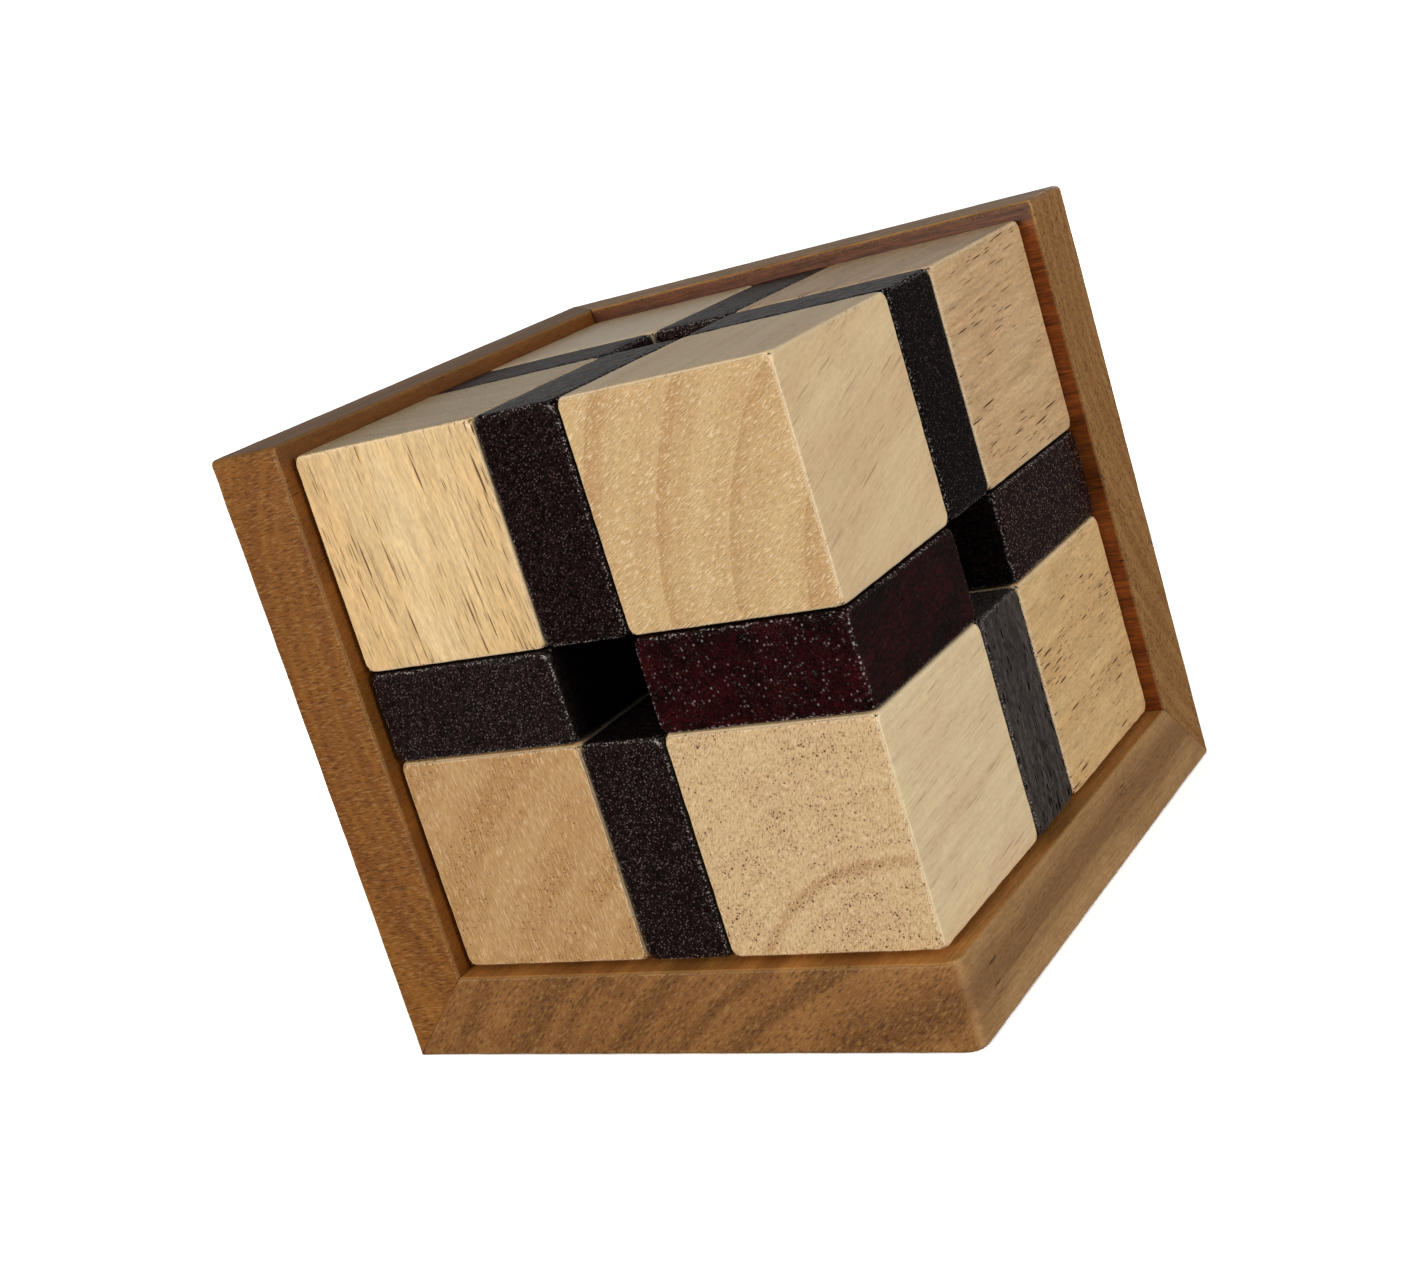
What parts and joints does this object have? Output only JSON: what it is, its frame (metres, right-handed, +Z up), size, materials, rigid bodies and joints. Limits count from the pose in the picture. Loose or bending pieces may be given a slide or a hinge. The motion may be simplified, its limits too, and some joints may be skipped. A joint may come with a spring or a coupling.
{
  "type": "wooden cube packing puzzle in a corner tray",
  "caption": "Cube built of light corner blocks and dark slabs glued into loose pieces, with square holes at its face centres, seated in a mitred three-sided wooden corner tray.",
  "frame": {"origin": "on the surface it stands on, under the middle of the tray's square footprint", "axes": "+Z up, the tray's left wall faces -X and its back wall faces +Y, so the open sides face +X, -Y and +Z"},
  "size_m": [0.0814, 0.0814, 0.0813],
  "materials": {
    "pale_block": "sanded, thin satin lacquer",
    "dark_slab": "stained near black, semi-gloss lacquer",
    "tray_board": "oiled, low satin"
  },
  "bodies": {
    "tray": {"tray_floor": "tray_board", "tray_left_wall": "tray_board", "tray_back_wall": "tray_board"},
    "piece_top_far": {"cube_top_far": "pale_block", "slab_top_far_to_right": "dark_slab", "slab_top_far_to_left": "dark_slab"},
    "piece_top_left": {"cube_top_left": "pale_block", "slab_top_left_to_near": "dark_slab"},
    "piece_top_near": {"cube_top_near": "pale_block"},
    "piece_top_right": {"cube_top_right": "pale_block", "slab_top_right_to_near": "dark_slab"},
    "piece_base_far": {"cube_base_far": "pale_block", "slab_base_far_to_right": "dark_slab", "slab_base_far_to_left": "dark_slab", "slab_base_far_to_top": "dark_slab"},
    "piece_base_left": {"cube_base_left": "pale_block", "slab_base_left_to_near": "dark_slab", "slab_base_left_to_top": "dark_slab"},
    "piece_base_near": {"cube_base_near": "pale_block", "slab_base_near_to_top": "dark_slab"},
    "piece_base_right": {"cube_base_right": "pale_block", "slab_base_right_to_near": "dark_slab", "slab_base_right_to_top": "dark_slab"}
  },
  "joints": [
    {"name": "lift_top_left", "type": "slide", "parent": "tray", "child": "piece_top_left", "axis": [0, 0, 1], "range_m": [0, 0.035]},
    {"name": "lift_top_near", "type": "slide", "parent": "tray", "child": "piece_top_near", "axis": [0, 0, 1], "range_m": [0, 0.035]},
    {"name": "lift_top_right", "type": "slide", "parent": "tray", "child": "piece_top_right", "axis": [0, 0, 1], "range_m": [0, 0.035]},
    {"name": "lift_top_far", "type": "slide", "parent": "piece_base_far", "child": "piece_top_far", "axis": [0, 0, 1], "range_m": [0, 0.035]},
    {"name": "draw_base_left", "type": "slide", "parent": "tray", "child": "piece_base_left", "axis": [0, -1, 0], "range_m": [0, 0.035]},
    {"name": "draw_base_near", "type": "slide", "parent": "tray", "child": "piece_base_near", "axis": [0, -1, 0], "range_m": [0, 0.035]},
    {"name": "draw_base_right", "type": "slide", "parent": "tray", "child": "piece_base_right", "axis": [1, 0, 0], "range_m": [0, 0.035]},
    {"name": "lift_base_far", "type": "slide", "parent": "tray", "child": "piece_base_far", "axis": [0, 0, 1], "range_m": [0, 0.076]}
  ]
}
